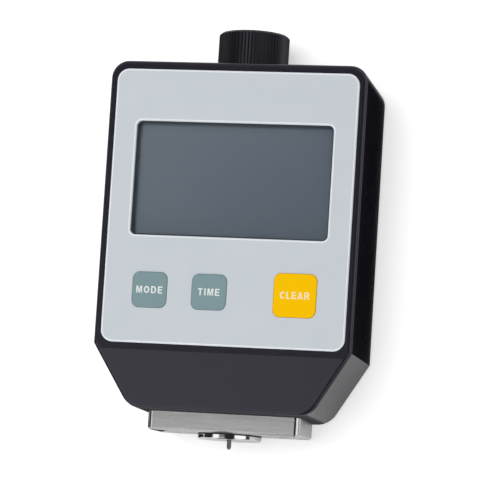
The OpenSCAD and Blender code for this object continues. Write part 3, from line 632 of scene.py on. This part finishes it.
# The softboxes that surfaces mirror: the setting of each one's brightness, and its edges
SOFTBOXES = (
    ("front_gloss", (
        soft_edge("Y", 0.09, -0.08),
        soft_edge("X", -0.75, -0.5),
        soft_edge("X", -0.02, -0.15),
        soft_edge("Z", 0.02, 0.25),
    )),
    ("ring_gloss", (
        soft_edge("Z", 0.05, 0.2),
        soft_edge("Z", 0.75, 0.6),
        soft_edge("X", -0.4, 0.4, rest=0.06),
        soft_edge("Y", 0.05, 0.066),
    )),
    ("back_gloss", (
        soft_edge("Y", 0.15, 0.4),
        soft_edge("X", 0.1, -0.1),
    )),
    ("side_gloss", (
        soft_edge("X", -0.88, -0.97),
        soft_edge("Y", 0.08, 0.15),
        soft_edge("Z", 0.02, 0.15),
    )),
    ("strip_gloss", (
        *STRIP_EDGES,
        soft_edge("X", 0.48, 0.58),
    )),
    ("strip_gloss", (
        *STRIP_EDGES,
        soft_edge("X", -0.8, -0.7),
        soft_edge("X", -0.38, -0.45),
    )),
)


def make_world(scene, stage):
    """Soft surroundings: white where they are seen, with softboxes in the dark where they are mirrored."""
    world = bpy.data.worlds.new("surroundings")
    scene.world = world
    world.use_nodes = True
    world.node_tree.nodes.clear()
    wires = Wires(world.node_tree)
    look = wires.add("ShaderNodeTexCoord").outputs["Generated"]
    way = wires.add("ShaderNodeSeparateXYZ", Vector=look).outputs
    bright = 0.0
    for setting, edges in SOFTBOXES:
        box = getattr(stage, setting)
        for axis, dark, light, rest in edges:
            box = wires.maths("MULTIPLY", box, wires.ramp(way[axis], dark, light, rest, 1))
        bright = wires.maths("MAXIMUM", bright, box)
    graded = wires.maths("ADD", bright, stage.dark_gloss)
    gloss = wires.add("ShaderNodeLightPath").outputs["Is Glossy Ray"]
    seen = seen_directly(wires)
    dulled = wires.maths("MULTIPLY", gloss, wires.maths("SUBTRACT", 1, graded))
    shown = wires.maths("MULTIPLY", seen, wires.maths("SUBTRACT", 1, dulled))
    spread = wires.maths("MULTIPLY", wires.maths("SUBTRACT", 1, seen), stage.sky_light)
    strength = wires.maths("ADD", shown, spread)
    sky = wires.add("ShaderNodeBackground", Color=(1, 1, 1, 1), Strength=strength)
    wires.show(sky, "ShaderNodeOutputWorld")


def make_lamp(name, place, side, watts):
    """A square softbox that points at the object's middle."""
    lamp = bpy.data.lights.new(name, "AREA")
    lamp.energy = watts
    lamp.size = side
    obj = link(bpy.data.objects.new(name, lamp))
    obj.visible_glossy = False
    obj.location = place
    aim = (CAD_BOX[0] + CAD_BOX[1]) / 2 - Vector(place)
    obj.rotation_euler = aim.to_track_quat("-Z", "Y").to_euler()


def make_camera(scene, stage):
    """The camera at the photograph's viewing angle."""
    camera = bpy.data.cameras.new("camera")
    camera.lens = stage.camera_lens
    camera.sensor_width = SENSOR_WIDTH
    obj = link(bpy.data.objects.new("camera", camera))
    aim = Vector(stage.camera_aim).normalized()
    right = aim.cross(Vector(stage.camera_up)).normalized()
    turn = Matrix((right, right.cross(aim), -aim)).transposed()
    obj.matrix_world = Matrix.Translation(stage.camera_place) @ turn.to_4x4()
    scene.camera = obj


class DUROMETER_OT_case(Operator):
    """Give the case, its cover and the battery cap their moulded finish"""

    bl_idname = "durometer.case"
    bl_label = "Case"

    def execute(self, context):
        case = context.scene.durometer.case
        plastic = moulded("case_plastic", case.black, case.black_patch, case.grain, tint=case.sheen_tint)
        wires = plastic.wires
        under = wires.ramp(wires.facing("Y", "Normal"), *UNDER_FACING, case.under_rough, 0)
        rough = wires.maths("MAXIMUM", plastic.group.outputs["Roughness"], under)
        wires.join(rough, plastic.shader.inputs["Roughness"])
        dress(plastic.material, "front_case", edge=case.edge, crease=case.crease)
        dress(plastic.material, "rear_cover", "battery_cap", edge=case.edge)
        return {"FINISHED"}


class DUROMETER_OT_knob(Operator):
    """Give the knob and its stud their finish"""

    bl_idname = "durometer.knob"
    bl_label = "Knob"

    def execute(self, context):
        settings = context.scene.durometer
        case = settings.case
        knob = moulded(
            "knob_black", case.knob_black, case.knob_patch, grain=0.2 * MM, rough=0.38, tint=case.knob_tint
        )
        dress(knob.material, "knob", edge=case.knob_edge)
        dress(turned("stud_steel", settings.metal.steel), "knob_stud")
        return {"FINISHED"}


class DUROMETER_OT_panel(Operator):
    """Give the front panel its paint, its cut edges lightened as a painted highlight, and the painted
    highlight lines round it and its window
    """

    bl_idname = "durometer.panel"
    bl_label = "Front panel"

    def execute(self, context):
        panel = context.scene.durometer.panel
        paint = Finish(
            "panel_silver", panel.silver, panel.silver_patch, patch=9 * MM, grain=0.12 * MM, rough=0.42,
            depth=0.0015 * MM, Specular_IOR_Level=0.3,
        )
        wires = paint.wires
        # Facets that tilt away from the front are the cut edges: bare metal, lightened further as a painted
        # highlight
        cut = wires.maths("LESS_THAN", wires.facing("Z"), FRONT_FACING)
        edged = wires.blend(cut, paint.group.outputs["Color"], solid(panel.edge_highlight))
        wires.join(edged, paint.shader.inputs["Base Color"])
        dress(paint.material, "front_panel")
        draw_highlights_and_gasket(panel)
        return {"FINISHED"}


def draw_highlights_and_gasket(panel):
    """Painted highlight lines round the panel and its window, and a dark line on the lens inside the
    window.
    """
    light = Finish(
        "painted_highlight_silver", panel.edge_line, panel.edge_highlight, patch=6 * MM, grain=0.12 * MM, rough=0.42,
        Specular_IOR_Level=0.3,
    ).material
    dark = Finish(
        "gasket_black", panel.gasket, panel.gasket_patch, patch=3 * MM, grain=0.1 * MM, rough=0.6
    ).material
    low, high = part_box("front_panel")
    plate = low, high, panel.corner
    lens_low, lens_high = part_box("display_lens")
    lap = Vector((panel.lens_lap, panel.lens_lap, 0))
    window = lens_low + lap, lens_high - lap, panel.window_corner
    inset = panel.bevel + panel.border_width
    seal = -panel.line_half_thickness, -panel.gasket_width
    # The panel's and the window's lines are painted highlight; the gasket is a dark line on the lens
    lines = (
        ("panel_painted_highlight", plate, (-panel.bevel, -inset), high.z, light, "panel_silver"),
        ("window_painted_highlight", window, (panel.bevel, inset), high.z, light, "panel_silver"),
        ("window_gasket", window, seal, lens_high.z, dark, "strip_rubber"),
    )
    for name, (low, high, corner), offsets, top, ink, slot in lines:
        wide, tall = high.x - low.x, high.y - low.y
        outlines = [rounded(wide + 2 * by, tall + 2 * by, corner + by) for by in offsets]
        middle = (low + high) / 2
        middle.z = top + panel.line_half_thickness
        edge_line = print_outlines(name, outlines, middle, panel.line_half_thickness, ink)
        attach(edge_line, "case")


def arc(x, y, wide, high, start, stop):
    """Points on an ellipse with these half widths, by angles in degrees."""
    turns = [math.radians(start + (stop - start) * i / ARC_STEPS) for i in range(ARC_STEPS + 1)]
    return [(x + wide * math.cos(t), y + high * math.sin(t)) for t in turns]


def rounded(wide, high, radius):
    """The outline of a rectangle with round corners about the origin."""
    x, y = wide / 2 - radius, high / 2 - radius
    corners = ((x, y, 0), (-x, y, 90), (-x, -y, 180), (x, -y, 270))
    return [p for cx, cy, turn in corners for p in arc(cx, cy, radius, radius, turn, turn + 90)]


def print_outlines(name, outlines, middle, thick, ink):
    """A raised sheet between closed outlines that are drawn about a middle point; it carries the printed
    legends and gasket, and the painted highlight lines round the panel.
    """
    drawing = bpy.data.curves.new(name, "CURVE")
    drawing.dimensions = "2D"
    drawing.fill_mode = "BOTH"
    drawing.extrude = thick
    for outline in outlines:
        spline = drawing.splines.new("POLY")
        spline.points.add(len(outline) - 1)
        for spot, (x, y) in zip(spline.points, outline):
            spot.co = (x, y, 0, 1)
        spline.use_cyclic_u = True
    drawn = bpy.data.objects.new(f"{name}_drawing", drawing)
    mesh = bpy.data.meshes.new_from_object(drawn)
    bpy.data.objects.remove(drawn)
    mesh.materials.clear()
    mesh.materials.append(ink)
    mesh.transform(Matrix.Translation(middle))
    return link(bpy.data.objects.new(name, mesh))


class DUROMETER_OT_display(Operator):
    """Give the lens, the blank display and what lies under it their finish"""

    bl_idname = "durometer.display"
    bl_label = "Display"

    def execute(self, context):
        panel = context.scene.durometer.panel
        inner = context.scene.durometer.inner
        lens = clear(
            "lens_clear", panel.lens, panel.lens_patch, patch=20 * MM,
            bend=panel.lens_bend, mirror=panel.lens_mirror,
        )
        dress(lens, "display_lens")
        dress(display_material(panel), "display_glass")
        light = Finish(
            "backlight_white", inner.backlight, inner.backlight_patch,
            patch=3 * MM, grain=0.3 * MM, rough=0.4,
        )
        dress(light.material, "backlight")
        strip = Finish(
            "strip_rubber", inner.strip, inner.strip_patch, patch=0.5 * MM, grain=0.1 * MM, rough=0.7
        )
        dress(strip.material, "contact_strips")
        return {"FINISHED"}


def display_material(panel):
    """The blank liquid crystal display, a little darker towards its lower right corner."""
    glass = Finish(
        "display_grey", panel.display, panel.display, patch=15 * MM, grain=0.15 * MM, rough=0.3,
        spread=0.05, Specular_IOR_Level=0.1,
    )
    wires = glass.wires
    low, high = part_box("display_glass")
    place = wires.add("ShaderNodeTexCoord").outputs["Object"]
    split = wires.add("ShaderNodeSeparateXYZ", Vector=place).outputs
    slant = wires.maths("SUBTRACT", split["X"], split["Y"])
    share = wires.ramp(slant, low.x - high.y, high.x - low.y, 0, 1)
    shade = wires.blend(share, glass.group.outputs["Color"], solid(panel.display_low))
    wires.join(shade, glass.shader.inputs["Base Color"])
    return glass.material


class DUROMETER_OT_keys(Operator):
    """Give the keys their colours and print their legends"""

    bl_idname = "durometer.keys"
    bl_label = "Keys"

    def execute(self, context):
        keys = context.scene.durometer.keys
        surface = {"grain": 0.15 * MM, "rough": 0.5, "depth": 0.002 * MM}
        grey = moulded("key_grey", keys.grey, keys.grey_patch, gloss=0.12, **surface)
        amber = moulded("key_amber", keys.amber, keys.amber_patch, gloss=0.06, **surface)
        dress(grey.material, "mode_key", "time_key")
        dress(amber.material, "clear_key")
        print_ink = {"patch": 1 * MM, "grain": 0.1 * MM, "rough": 0.5}
        ink = Finish("legend_ink", keys.legend, keys.legend_patch, **print_ink).material
        warm = Finish("warm_ink", keys.warm, keys.warm_patch, **print_ink).material
        print_legend("mode_key", "MODE", keys, keys.legend_gap, ink)
        print_legend("time_key", "TIME", keys, keys.legend_gap, ink)
        print_legend("clear_key", "CLEAR", keys, keys.warm_gap, warm)
        return {"FINISHED"}


def capitals():
    """Bold capitals of height 1: the width and the closed outlines of each."""
    stem, bar = 0.2, 0.18
    top = 1 - bar
    bowl = arc(0.41, 0.5, 0.41, 0.5, 42, 318)
    return {
        "M": (0.85, [[(0, 0), (0, 1), (0.26, 1), (0.425, 0.36), (0.59, 1), (0.85, 1), (0.85, 0),
                      (0.67, 0), (0.67, 0.72), (0.49, 0), (0.36, 0), (0.18, 0.72), (0.18, 0)]]),
        "O": (0.82, [arc(0.41, 0.5, 0.41, 0.5, 0, 345), arc(0.41, 0.5, 0.2, 0.31, 0, 345)]),
        "D": (0.75, [[(0, 0), (0, 1)] + arc(0.34, 0.5, 0.41, 0.5, 90, -90),
                     [(stem, bar), (stem, top)] + arc(0.32, 0.5, 0.22, 0.32, 90, -90)]),
        "E": (0.64, [[(0, 0), (0, 1), (0.64, 1), (0.64, top), (stem, top), (stem, 0.6), (0.6, 0.6),
                      (0.6, 0.42), (stem, 0.42), (stem, bar), (0.64, bar), (0.64, 0)]]),
        "T": (0.68, [[(0.24, 0), (0.24, top), (0, top), (0, 1), (0.68, 1), (0.68, top),
                      (0.44, top), (0.44, 0)]]),
        "I": (stem, [[(0, 0), (0, 1), (stem, 1), (stem, 0)]]),
        "C": (0.75, [bowl + arc(0.41, 0.5, 0.2, 0.31, 318, 42)]),
        "L": (0.58, [[(0, 0), (0, 1), (stem, 1), (stem, bar), (0.58, bar), (0.58, 0)]]),
        "A": (0.8, [[(0, 0), (0.29, 1), (0.51, 1), (0.8, 0), (0.59, 0), (0.54, 0.2), (0.26, 0.2),
                     (0.21, 0)], [(0.31, 0.37), (0.4, 0.74), (0.49, 0.37)]]),
        "R": (0.75, [[(0, 0), (0, 1)] + arc(0.42, 0.71, 0.3, 0.29, 90, -62)
                     + [(0.75, 0), (0.53, 0), (0.36, 0.4), (stem, 0.4), (stem, 0)],
                     [(stem, 0.57), (stem, 0.83)] + arc(0.4, 0.7, 0.11, 0.13, 90, -90)]),
    }


def print_legend(key, words, keys, spacing, ink):
    """Capitals in raised ink at the middle of a key's top."""
    low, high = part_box(key)
    shapes = capitals()
    tall = keys.legend_height
    gap = spacing / tall
    left = -(sum(shapes[c][0] for c in words) + gap * (len(words) - 1)) / 2
    outlines = []
    for letter in words:
        wide, shape = shapes[letter]
        outlines += [[((left + x) * tall, (y - 0.5) * tall) for x, y in line] for line in shape]
        left += wide + gap
    middle = (low + high) / 2
    middle.z = high.z + keys.ink
    legend = print_outlines(f"{key}_legend", outlines, middle, keys.ink, ink)
    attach(legend, key)


class DUROMETER_OT_foot(Operator):
    """Give the pressor foot, its disc and the indenter their steel"""

    bl_idname = "durometer.foot"
    bl_label = "Pressor foot"

    def execute(self, context):
        metal = context.scene.durometer.metal
        dress(foot_material(metal), "foot_block", edge=metal.foot_edge)
        polished = Finish(
            "disc_polished", metal.disc, metal.disc_patch, patch=4 * MM, grain=0.3 * MM, rough=0.06,
            spread=0.03, Metallic=1.0,
        )
        dress(polished.material, "pressor_disc", edge=metal.disc_edge)
        dress(turned("indenter_steel", metal.pin, rough=0.22), "indenter")
        # A dark ring of painted shade where the disc meets the foot
        make_root_shade(metal)
        return {"FINISHED"}


def foot_material(metal):
    """Steel that is ground along its length, with smoother rounded edges."""
    ground = Finish(
        "foot_steel", metal.foot, metal.foot_line, patch=0.5 * MM, grain=0.12 * MM, rough=0.26,
        spread=0.15, stretch=(0.05, 1, 1), depth=0.001 * MM,
        Metallic=1.0, Anisotropic=0.95, Anisotropic_Rotation=0.25,
    )
    wires = ground.wires
    around = wires.add("ShaderNodeTangent", direction_type="RADIAL", axis="Y")
    wires.join(around.outputs[0], ground.shader.inputs["Tangent"])
    lean = wires.maths("ABSOLUTE", wires.facing("X"))
    least, most = EDGE_FACING
    edges = wires.maths(
        "MULTIPLY", wires.maths("GREATER_THAN", lean, least), wires.maths("LESS_THAN", lean, most)
    )
    smoother = wires.maths("SUBTRACT", 1, wires.maths("MULTIPLY", edges, metal.edge_polish))
    rough = wires.maths("MULTIPLY", ground.group.outputs["Roughness"], smoother)
    wires.join(rough, ground.shader.inputs["Roughness"])
    return ground.material


def make_root_shade(metal):
    """A dark ring round the disc where it meets the foot: painted shade for the shadow in the gap there."""
    low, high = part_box("pressor_disc")
    radius = (high.x - low.x) / 2
    inner, outer = radius - metal.root_shade_lap, radius + metal.root_shade_stand
    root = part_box("foot_block")[0].y
    end = root - metal.root_shade_width
    profile = ((inner, root), (outer, root), (outer, end), (inner, end))
    mesh = bpy.data.meshes.new("disc_root_shade")
    mesh.from_pydata(*ring(profile, (low + high) / 2))
    black = Finish(
        "root_shade_black", metal.root_shade, metal.root_shade_patch, patch=0.8 * MM, grain=0.1 * MM, rough=0.6
    )
    mesh.materials.append(black.material)
    root_shade = link(bpy.data.objects.new("disc_root_shade", mesh))
    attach(root_shade, "case")


def ring(profile, middle):
    """Points, edges and faces of a profile of radii and heights, turned about the plunger's direction."""
    count = len(profile)
    points, faces = [], []
    for i in range(RING_STEPS):
        turn = 2 * math.pi * i / RING_STEPS
        for reach, y in profile:
            points.append((middle.x + reach * math.sin(turn), y, middle.z + reach * math.cos(turn)))
        here, there = i * count, (i + 1) % RING_STEPS * count
        for j in range(count):
            k = (j + 1) % count
            faces.append((here + j, here + k, there + k, there + j))
    return points, [], faces


class DUROMETER_OT_fasteners(Operator):
    """Give the screws their plating"""

    bl_idname = "durometer.fasteners"
    bl_label = "Screws"

    def execute(self, context):
        metal = context.scene.durometer.metal
        plated = turned("screw_steel", metal.steel, rough=0.28)
        dress(plated, "case_screws", "board_screws", "foot_screws")
        return {"FINISHED"}


class DUROMETER_OT_mechanism(Operator):
    """Give the guide, the plunger, the spring and the scale their finish"""

    bl_idname = "durometer.mechanism"
    bl_label = "Mechanism"

    def execute(self, context):
        metal = context.scene.durometer.metal
        inner = context.scene.durometer.inner
        alloy = turned("guide_alloy", metal.alloy, rough=0.3, lines=(1, 0.2, 1))
        dress(alloy, "guide_body", "scale_carrier")
        bronze = turned("bush_bronze", metal.bronze, rough=0.32)
        dress(bronze, "lower_bush", "upper_bush", "spring_nut")
        rod = turned("rod_steel", metal.steel, rough=0.2)
        dress(rod, "plunger_rod", "main_spring")
        make_spring(rod)
        scale = clear("scale_glass", inner.scale, inner.scale_patch, patch=2 * MM, bend=inner.scale_bend)
        dress(scale, "scale_strip")
        return {"FINISHED"}


def make_spring(steel):
    """The main spring once more, as a piece of its own that rides on the case in place of the hidden CAD
    node.
    """
    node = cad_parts["main_spring"]
    spring = link(bpy.data.objects.new("spring_coil", node.data.copy()))
    spring.matrix_world = node.matrix_world
    spring.data.materials.clear()
    spring.data.materials.append(steel)
    soften(spring, 0.0, NO_CREASE)
    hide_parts("main_spring")
    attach(spring, "case")
    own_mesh(spring)


class DUROMETER_OT_electronics(Operator):
    """Give the board, its parts and the battery their finishes"""

    bl_idname = "durometer.electronics"
    bl_label = "Electronics"

    def execute(self, context):
        metal = context.scene.durometer.metal
        inner = context.scene.durometer.inner
        board = Finish(
            "board_green", inner.board, inner.board_patch, patch=1.5 * MM, grain=0.3 * MM, rough=0.35
        )
        dress(board.material, "circuit_board")
        chip = Finish("chip_black", inner.chip, inner.chip_patch, patch=0.8 * MM, grain=0.1 * MM, rough=0.6)
        dress(chip.material, "board_chips", "key_switches", "read_head")
        dress(turned("cell_steel", metal.disc, rough=0.25), "coin_cell")
        dress(turned("contact_bronze", metal.bronze), "battery_contacts")
        return {"FINISHED"}


class DUROMETER_PT_sidebar(Panel):
    """Lists the steps that dress the durometer"""

    bl_idname = "DUROMETER_PT_sidebar"
    bl_label = "Durometer"
    bl_space_type = "VIEW_3D"
    bl_region_type = "UI"
    bl_category = "Durometer"

    def draw(self, context):
        for step in STEPS:
            self.layout.operator(step.bl_idname)


SETTINGS = (
    StageSettings,
    CaseSettings,
    PanelSettings,
    KeySettings,
    MetalSettings,
    InnerSettings,
    DurometerSettings,
)
STEPS = (
    DUROMETER_OT_stage,
    DUROMETER_OT_case,
    DUROMETER_OT_knob,
    DUROMETER_OT_panel,
    DUROMETER_OT_display,
    DUROMETER_OT_keys,
    DUROMETER_OT_foot,
    DUROMETER_OT_fasteners,
    DUROMETER_OT_mechanism,
    DUROMETER_OT_electronics,
)
CLASSES = (*SETTINGS, *STEPS, DUROMETER_PT_sidebar)


def register():
    """Registers the classes and adds the settings to the scene."""
    for kind in CLASSES:
        bpy.utils.register_class(kind)
    bpy.types.Scene.durometer = PointerProperty(type=DurometerSettings)


def unregister():
    """Takes the settings and the classes away."""
    del bpy.types.Scene.durometer
    for kind in reversed(CLASSES):
        bpy.utils.unregister_class(kind)


def main():
    """Dresses the part step by step."""
    register()
    for step in STEPS:
        group, name = step.bl_idname.split(".")
        getattr(getattr(bpy.ops, group), name)()


if __name__ == "__main__":
    main()
